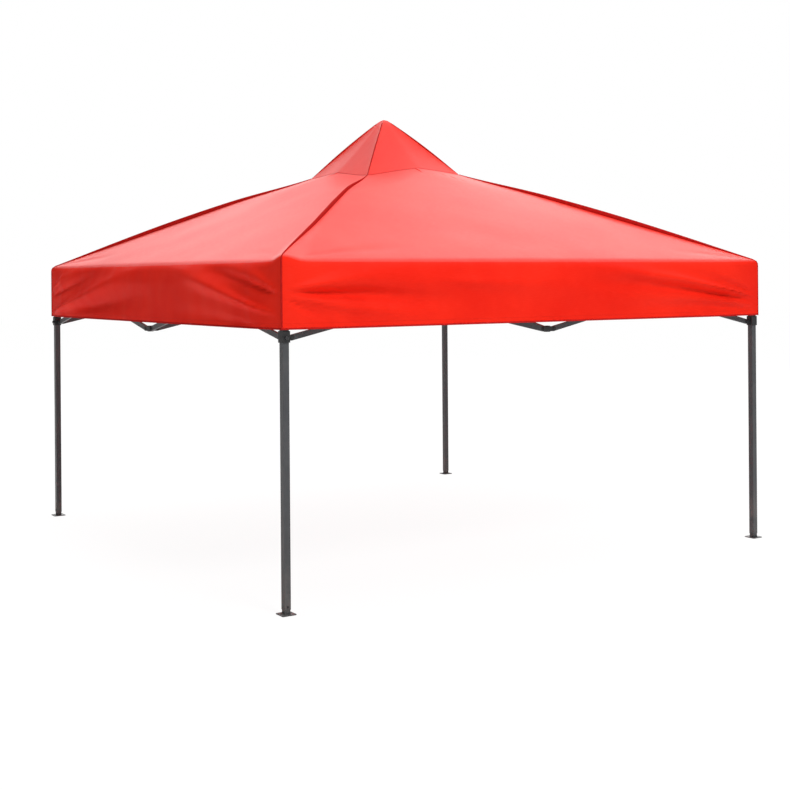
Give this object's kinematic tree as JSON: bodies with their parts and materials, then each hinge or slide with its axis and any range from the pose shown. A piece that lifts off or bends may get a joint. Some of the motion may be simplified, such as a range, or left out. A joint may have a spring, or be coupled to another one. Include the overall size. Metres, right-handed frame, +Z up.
{
  "type": "pop up canopy",
  "caption": "Square pop up canopy with a folding scissor truss frame, four telescoping legs, a centre peak pole and a tensioned fabric cover with valances.",
  "frame": {"origin": "on the ground under the middle of the roof", "axes": "+Z up; the front side faces -Y; X and Y run along the sides of the square roof"},
  "size_m": [2.968, 2.968, 2.36],
  "materials": {
    "cover_fabric": "red coated polyester oxford cloth",
    "painted_steel": "dark grey powder coat",
    "connector_plastic": "moulded black nylon",
    "button_plastic": "smooth dark plastic"
  },
  "bodies": {
    "top_hub": {"top_hub": "connector_plastic"},
    "front_inner_high_bar": {"front_inner_high_bar": "painted_steel"},
    "front_inner_low_bar": {"front_inner_low_bar": "painted_steel"},
    "front_mid_bottom": {"front_mid_bottom_connector": "connector_plastic"},
    "front_mid_top": {"front_mid_top_connector": "connector_plastic"},
    "front_side_left_high_bar": {"front_side_left_high_bar": "painted_steel"},
    "front_side_left_low_bar": {"front_side_left_low_bar": "painted_steel"},
    "front_side_right_high_bar": {"front_side_right_high_bar": "painted_steel"},
    "front_side_right_low_bar": {"front_side_right_low_bar": "painted_steel"},
    "right_inner_high_bar": {"right_inner_high_bar": "painted_steel"},
    "right_inner_low_bar": {"right_inner_low_bar": "painted_steel"},
    "right_mid_bottom": {"right_mid_bottom_connector": "connector_plastic"},
    "right_mid_top": {"right_mid_top_connector": "connector_plastic"},
    "right_side_front_high_bar": {"right_side_front_high_bar": "painted_steel"},
    "right_side_front_low_bar": {"right_side_front_low_bar": "painted_steel"},
    "right_side_back_high_bar": {"right_side_back_high_bar": "painted_steel"},
    "right_side_back_low_bar": {"right_side_back_low_bar": "painted_steel"},
    "back_inner_high_bar": {"back_inner_high_bar": "painted_steel"},
    "back_inner_low_bar": {"back_inner_low_bar": "painted_steel"},
    "back_mid_bottom": {"back_mid_bottom_connector": "connector_plastic"},
    "back_mid_top": {"back_mid_top_connector": "connector_plastic"},
    "back_side_right_high_bar": {"back_side_right_high_bar": "painted_steel"},
    "back_side_right_low_bar": {"back_side_right_low_bar": "painted_steel"},
    "back_side_left_high_bar": {"back_side_left_high_bar": "painted_steel"},
    "back_side_left_low_bar": {"back_side_left_low_bar": "painted_steel"},
    "left_inner_high_bar": {"left_inner_high_bar": "painted_steel"},
    "left_inner_low_bar": {"left_inner_low_bar": "painted_steel"},
    "left_mid_bottom": {"left_mid_bottom_connector": "connector_plastic"},
    "left_mid_top": {"left_mid_top_connector": "connector_plastic"},
    "left_side_back_high_bar": {"left_side_back_high_bar": "painted_steel"},
    "left_side_back_low_bar": {"left_side_back_low_bar": "painted_steel"},
    "left_side_front_high_bar": {"left_side_front_high_bar": "painted_steel"},
    "left_side_front_low_bar": {"left_side_front_low_bar": "painted_steel"},
    "bottom_hub": {"bottom_hub": "connector_plastic"},
    "peak": {"peak_pole": "painted_steel", "cover": "cover_fabric"},
    "front_left_leg": {"front_left_outer_leg": "painted_steel", "front_left_leg_bracket": "connector_plastic"},
    "front_left_slider": {"front_left_slider": "connector_plastic"},
    "front_left_inner_leg": {"front_left_inner_leg": "painted_steel"},
    "front_left_slider_pin": {"front_left_slider_pin": "button_plastic"},
    "front_left_snap_button": {"front_left_leg_snap_button": "button_plastic"},
    "front_right_leg": {"front_right_outer_leg": "painted_steel", "front_right_leg_bracket": "connector_plastic"},
    "front_right_slider": {"front_right_slider": "connector_plastic"},
    "front_right_inner_leg": {"front_right_inner_leg": "painted_steel"},
    "front_right_slider_pin": {"front_right_slider_pin": "button_plastic"},
    "front_right_snap_button": {"front_right_leg_snap_button": "button_plastic"},
    "back_right_leg": {"back_right_outer_leg": "painted_steel", "back_right_leg_bracket": "connector_plastic"},
    "back_right_slider": {"back_right_slider": "connector_plastic"},
    "back_right_inner_leg": {"back_right_inner_leg": "painted_steel"},
    "back_right_slider_pin": {"back_right_slider_pin": "button_plastic"},
    "back_right_snap_button": {"back_right_leg_snap_button": "button_plastic"},
    "back_left_leg": {"back_left_outer_leg": "painted_steel", "back_left_leg_bracket": "connector_plastic"},
    "back_left_slider": {"back_left_slider": "connector_plastic"},
    "back_left_inner_leg": {"back_left_inner_leg": "painted_steel"},
    "back_left_slider_pin": {"back_left_slider_pin": "button_plastic"},
    "back_left_snap_button": {"back_left_leg_snap_button": "button_plastic"}
  },
  "joints": [
    {"name": "fold", "type": "hinge", "parent": "top_hub", "child": "front_inner_high_bar", "pos_m": [0.007, -0.036, 1.48], "axis": [1, 0, 0], "range_deg": [0, 73.76], "deforming": ["cover"]},
    {"name": "front_mid_bottom_pivot", "type": "hinge", "parent": "front_inner_high_bar", "child": "front_mid_bottom", "pos_m": [0.007, -1.419, 1.18], "axis": [-1, 0, 0], "range_deg": [0, 73.76]},
    {"name": "front_inner_cross_pivot", "type": "hinge", "parent": "front_inner_high_bar", "child": "front_inner_low_bar", "pos_m": [0, -0.7275, 1.33], "axis": [-1, 0, 0], "range_deg": [0, 147.52]},
    {"name": "front_mid_top_pivot", "type": "hinge", "parent": "front_inner_low_bar", "child": "front_mid_top", "pos_m": [-0.007, -1.419, 1.48], "axis": [1, 0, 0], "range_deg": [0, 73.76]},
    {"name": "front_side_left_high_pivot", "type": "hinge", "parent": "front_mid_bottom", "child": "front_side_left_high_bar", "pos_m": [-0.031, -1.457, 1.18], "axis": [0, 1, 0], "range_deg": [0, 73.76]},
    {"name": "front_side_left_low_pivot", "type": "hinge", "parent": "front_mid_top", "child": "front_side_left_low_bar", "pos_m": [-0.031, -1.443, 1.48], "axis": [0, -1, 0], "range_deg": [0, 73.76]},
    {"name": "front_side_right_high_pivot", "type": "hinge", "parent": "front_mid_bottom", "child": "front_side_right_high_bar", "pos_m": [0.031, -1.457, 1.18], "axis": [0, -1, 0], "range_deg": [0, 73.76]},
    {"name": "front_side_right_low_pivot", "type": "hinge", "parent": "front_mid_top", "child": "front_side_right_low_bar", "pos_m": [0.031, -1.443, 1.48], "axis": [0, 1, 0], "range_deg": [0, 73.76]},
    {"name": "right_inner_high_fold", "type": "hinge", "parent": "top_hub", "child": "right_inner_high_bar", "pos_m": [0.036, 0.007, 1.48], "axis": [0, 1, 0], "range_deg": [0, 73.76]},
    {"name": "right_mid_bottom_pivot", "type": "hinge", "parent": "right_inner_high_bar", "child": "right_mid_bottom", "pos_m": [1.419, 0.007, 1.18], "axis": [0, -1, 0], "range_deg": [0, 73.76]},
    {"name": "right_inner_cross_pivot", "type": "hinge", "parent": "right_inner_high_bar", "child": "right_inner_low_bar", "pos_m": [0.7275, 0, 1.33], "axis": [0, -1, 0], "range_deg": [0, 147.52]},
    {"name": "right_mid_top_pivot", "type": "hinge", "parent": "right_inner_low_bar", "child": "right_mid_top", "pos_m": [1.419, -0.007, 1.48], "axis": [0, 1, 0], "range_deg": [0, 73.76]},
    {"name": "right_side_front_high_pivot", "type": "hinge", "parent": "right_mid_bottom", "child": "right_side_front_high_bar", "pos_m": [1.457, -0.031, 1.18], "axis": [-1, 0, 0], "range_deg": [0, 73.76]},
    {"name": "right_side_front_low_pivot", "type": "hinge", "parent": "right_mid_top", "child": "right_side_front_low_bar", "pos_m": [1.443, -0.031, 1.48], "axis": [1, 0, 0], "range_deg": [0, 73.76]},
    {"name": "right_side_back_high_pivot", "type": "hinge", "parent": "right_mid_bottom", "child": "right_side_back_high_bar", "pos_m": [1.457, 0.031, 1.18], "axis": [1, 0, 0], "range_deg": [0, 73.76]},
    {"name": "right_side_back_low_pivot", "type": "hinge", "parent": "right_mid_top", "child": "right_side_back_low_bar", "pos_m": [1.443, 0.031, 1.48], "axis": [-1, 0, 0], "range_deg": [0, 73.76]},
    {"name": "back_inner_high_fold", "type": "hinge", "parent": "top_hub", "child": "back_inner_high_bar", "pos_m": [-0.007, 0.036, 1.48], "axis": [-1, 0, 0], "range_deg": [0, 73.76]},
    {"name": "back_mid_bottom_pivot", "type": "hinge", "parent": "back_inner_high_bar", "child": "back_mid_bottom", "pos_m": [-0.007, 1.419, 1.18], "axis": [1, 0, 0], "range_deg": [0, 73.76]},
    {"name": "back_inner_cross_pivot", "type": "hinge", "parent": "back_inner_high_bar", "child": "back_inner_low_bar", "pos_m": [0, 0.7275, 1.33], "axis": [1, 0, 0], "range_deg": [0, 147.52]},
    {"name": "back_mid_top_pivot", "type": "hinge", "parent": "back_inner_low_bar", "child": "back_mid_top", "pos_m": [0.007, 1.419, 1.48], "axis": [-1, 0, 0], "range_deg": [0, 73.76]},
    {"name": "back_side_right_high_pivot", "type": "hinge", "parent": "back_mid_bottom", "child": "back_side_right_high_bar", "pos_m": [0.031, 1.457, 1.18], "axis": [0, -1, 0], "range_deg": [0, 73.76]},
    {"name": "back_side_right_low_pivot", "type": "hinge", "parent": "back_mid_top", "child": "back_side_right_low_bar", "pos_m": [0.031, 1.443, 1.48], "axis": [0, 1, 0], "range_deg": [0, 73.76]},
    {"name": "back_side_left_high_pivot", "type": "hinge", "parent": "back_mid_bottom", "child": "back_side_left_high_bar", "pos_m": [-0.031, 1.457, 1.18], "axis": [0, 1, 0], "range_deg": [0, 73.76]},
    {"name": "back_side_left_low_pivot", "type": "hinge", "parent": "back_mid_top", "child": "back_side_left_low_bar", "pos_m": [-0.031, 1.443, 1.48], "axis": [0, -1, 0], "range_deg": [0, 73.76]},
    {"name": "left_inner_high_fold", "type": "hinge", "parent": "top_hub", "child": "left_inner_high_bar", "pos_m": [-0.036, -0.007, 1.48], "axis": [0, -1, 0], "range_deg": [0, 73.76]},
    {"name": "left_mid_bottom_pivot", "type": "hinge", "parent": "left_inner_high_bar", "child": "left_mid_bottom", "pos_m": [-1.419, -0.007, 1.18], "axis": [0, 1, 0], "range_deg": [0, 73.76]},
    {"name": "left_inner_cross_pivot", "type": "hinge", "parent": "left_inner_high_bar", "child": "left_inner_low_bar", "pos_m": [-0.7275, 0, 1.33], "axis": [0, 1, 0], "range_deg": [0, 147.52]},
    {"name": "left_mid_top_pivot", "type": "hinge", "parent": "left_inner_low_bar", "child": "left_mid_top", "pos_m": [-1.419, 0.007, 1.48], "axis": [0, -1, 0], "range_deg": [0, 73.76]},
    {"name": "left_side_back_high_pivot", "type": "hinge", "parent": "left_mid_bottom", "child": "left_side_back_high_bar", "pos_m": [-1.457, 0.031, 1.18], "axis": [1, 0, 0], "range_deg": [0, 73.76]},
    {"name": "left_side_back_low_pivot", "type": "hinge", "parent": "left_mid_top", "child": "left_side_back_low_bar", "pos_m": [-1.443, 0.031, 1.48], "axis": [-1, 0, 0], "range_deg": [0, 73.76]},
    {"name": "left_side_front_high_pivot", "type": "hinge", "parent": "left_mid_bottom", "child": "left_side_front_high_bar", "pos_m": [-1.457, -0.031, 1.18], "axis": [-1, 0, 0], "range_deg": [0, 73.76]},
    {"name": "left_side_front_low_pivot", "type": "hinge", "parent": "left_mid_top", "child": "left_side_front_low_bar", "pos_m": [-1.443, -0.031, 1.48], "axis": [1, 0, 0], "range_deg": [0, 73.76]},
    {"name": "bottom_hub_pivot", "type": "hinge", "parent": "front_inner_low_bar", "child": "bottom_hub", "pos_m": [-0.007, -0.036, 1.18], "axis": [1, 0, 0], "range_deg": [0, 73.76]},
    {"name": "peak_pole_slide", "type": "slide", "parent": "bottom_hub", "child": "peak", "axis": [0, 0, 1], "range_m": [0, 0.4822]},
    {"name": "front_left_leg_pivot", "type": "hinge", "parent": "front_side_left_high_bar", "child": "front_left_leg", "pos_m": [-1.414, -1.457, 1.48], "axis": [0, -1, 0], "range_deg": [0, 73.76]},
    {"name": "front_left_slider_pivot", "type": "hinge", "parent": "front_side_left_low_bar", "child": "front_left_slider", "pos_m": [-1.414, -1.443, 1.18], "axis": [0, 1, 0], "range_deg": [0, 73.76]},
    {"name": "front_right_leg_pivot", "type": "hinge", "parent": "front_side_right_high_bar", "child": "front_right_leg", "pos_m": [1.414, -1.457, 1.48], "axis": [0, 1, 0], "range_deg": [0, 73.76]},
    {"name": "front_right_slider_pivot", "type": "hinge", "parent": "front_side_right_low_bar", "child": "front_right_slider", "pos_m": [1.414, -1.443, 1.18], "axis": [0, -1, 0], "range_deg": [0, 73.76]},
    {"name": "back_right_leg_pivot", "type": "hinge", "parent": "back_side_right_high_bar", "child": "back_right_leg", "pos_m": [1.414, 1.457, 1.48], "axis": [0, 1, 0], "range_deg": [0, 73.76]},
    {"name": "back_right_slider_pivot", "type": "hinge", "parent": "back_side_right_low_bar", "child": "back_right_slider", "pos_m": [1.414, 1.443, 1.18], "axis": [0, -1, 0], "range_deg": [0, 73.76]},
    {"name": "back_left_leg_pivot", "type": "hinge", "parent": "back_side_left_high_bar", "child": "back_left_leg", "pos_m": [-1.414, 1.457, 1.48], "axis": [0, -1, 0], "range_deg": [0, 73.76]},
    {"name": "back_left_slider_pivot", "type": "hinge", "parent": "back_side_left_low_bar", "child": "back_left_slider", "pos_m": [-1.414, 1.443, 1.18], "axis": [0, 1, 0], "range_deg": [0, 73.76]},
    {"name": "front_left_leg_extension", "type": "slide", "parent": "front_left_leg", "child": "front_left_inner_leg", "axis": [0, 0, -1], "range_m": [0, 0.6]},
    {"name": "front_left_slider_pin_pull", "type": "slide", "parent": "front_left_slider", "child": "front_left_slider_pin", "axis": [0, -1, 0], "range_m": [0, 0.005], "stiffness_N_per_m": 800},
    {"name": "front_left_snap_button_press", "type": "slide", "parent": "front_left_leg", "child": "front_left_snap_button", "axis": [0, 1, 0], "range_m": [0, 0.004], "stiffness_N_per_m": 800},
    {"name": "front_right_leg_extension", "type": "slide", "parent": "front_right_leg", "child": "front_right_inner_leg", "axis": [0, 0, -1], "range_m": [0, 0.6]},
    {"name": "front_right_slider_pin_pull", "type": "slide", "parent": "front_right_slider", "child": "front_right_slider_pin", "axis": [1, 0, 0], "range_m": [0, 0.005], "stiffness_N_per_m": 800},
    {"name": "front_right_snap_button_press", "type": "slide", "parent": "front_right_leg", "child": "front_right_snap_button", "axis": [-1, 0, 0], "range_m": [0, 0.004], "stiffness_N_per_m": 800},
    {"name": "back_right_leg_extension", "type": "slide", "parent": "back_right_leg", "child": "back_right_inner_leg", "axis": [0, 0, -1], "range_m": [0, 0.6]},
    {"name": "back_right_slider_pin_pull", "type": "slide", "parent": "back_right_slider", "child": "back_right_slider_pin", "axis": [0, 1, 0], "range_m": [0, 0.005], "stiffness_N_per_m": 800},
    {"name": "back_right_snap_button_press", "type": "slide", "parent": "back_right_leg", "child": "back_right_snap_button", "axis": [0, -1, 0], "range_m": [0, 0.004], "stiffness_N_per_m": 800},
    {"name": "back_left_leg_extension", "type": "slide", "parent": "back_left_leg", "child": "back_left_inner_leg", "axis": [0, 0, -1], "range_m": [0, 0.6]},
    {"name": "back_left_slider_pin_pull", "type": "slide", "parent": "back_left_slider", "child": "back_left_slider_pin", "axis": [-1, 0, 0], "range_m": [0, 0.005], "stiffness_N_per_m": 800},
    {"name": "back_left_snap_button_press", "type": "slide", "parent": "back_left_leg", "child": "back_left_snap_button", "axis": [1, 0, 0], "range_m": [0, 0.004], "stiffness_N_per_m": 800}
  ],
  "couplings": [
    {"joint": "front_mid_bottom_pivot", "follows": "fold", "ratio": 1},
    {"joint": "front_inner_cross_pivot", "follows": "fold", "ratio": 2},
    {"joint": "front_mid_top_pivot", "follows": "fold", "ratio": 1},
    {"joint": "front_side_left_high_pivot", "follows": "fold", "ratio": 1},
    {"joint": "front_side_left_low_pivot", "follows": "fold", "ratio": 1},
    {"joint": "front_side_right_high_pivot", "follows": "fold", "ratio": 1},
    {"joint": "front_side_right_low_pivot", "follows": "fold", "ratio": 1},
    {"joint": "right_inner_high_fold", "follows": "fold", "ratio": 1},
    {"joint": "right_mid_bottom_pivot", "follows": "fold", "ratio": 1},
    {"joint": "right_inner_cross_pivot", "follows": "fold", "ratio": 2},
    {"joint": "right_mid_top_pivot", "follows": "fold", "ratio": 1},
    {"joint": "right_side_front_high_pivot", "follows": "fold", "ratio": 1},
    {"joint": "right_side_front_low_pivot", "follows": "fold", "ratio": 1},
    {"joint": "right_side_back_high_pivot", "follows": "fold", "ratio": 1},
    {"joint": "right_side_back_low_pivot", "follows": "fold", "ratio": 1},
    {"joint": "back_inner_high_fold", "follows": "fold", "ratio": 1},
    {"joint": "back_mid_bottom_pivot", "follows": "fold", "ratio": 1},
    {"joint": "back_inner_cross_pivot", "follows": "fold", "ratio": 2},
    {"joint": "back_mid_top_pivot", "follows": "fold", "ratio": 1},
    {"joint": "back_side_right_high_pivot", "follows": "fold", "ratio": 1},
    {"joint": "back_side_right_low_pivot", "follows": "fold", "ratio": 1},
    {"joint": "back_side_left_high_pivot", "follows": "fold", "ratio": 1},
    {"joint": "back_side_left_low_pivot", "follows": "fold", "ratio": 1},
    {"joint": "left_inner_high_fold", "follows": "fold", "ratio": 1},
    {"joint": "left_mid_bottom_pivot", "follows": "fold", "ratio": 1},
    {"joint": "left_inner_cross_pivot", "follows": "fold", "ratio": 2},
    {"joint": "left_mid_top_pivot", "follows": "fold", "ratio": 1},
    {"joint": "left_side_back_high_pivot", "follows": "fold", "ratio": 1},
    {"joint": "left_side_back_low_pivot", "follows": "fold", "ratio": 1},
    {"joint": "left_side_front_high_pivot", "follows": "fold", "ratio": 1},
    {"joint": "left_side_front_low_pivot", "follows": "fold", "ratio": 1},
    {"joint": "bottom_hub_pivot", "follows": "fold", "ratio": 1},
    {"joint": "peak_pole_slide", "follows": "fold", "m_per_rad": 0.37419},
    {"joint": "front_left_leg_pivot", "follows": "fold", "ratio": 1},
    {"joint": "front_left_slider_pivot", "follows": "fold", "ratio": 1},
    {"joint": "front_right_leg_pivot", "follows": "fold", "ratio": 1},
    {"joint": "front_right_slider_pivot", "follows": "fold", "ratio": 1},
    {"joint": "back_right_leg_pivot", "follows": "fold", "ratio": 1},
    {"joint": "back_right_slider_pivot", "follows": "fold", "ratio": 1},
    {"joint": "back_left_leg_pivot", "follows": "fold", "ratio": 1},
    {"joint": "back_left_slider_pivot", "follows": "fold", "ratio": 1}
  ]
}
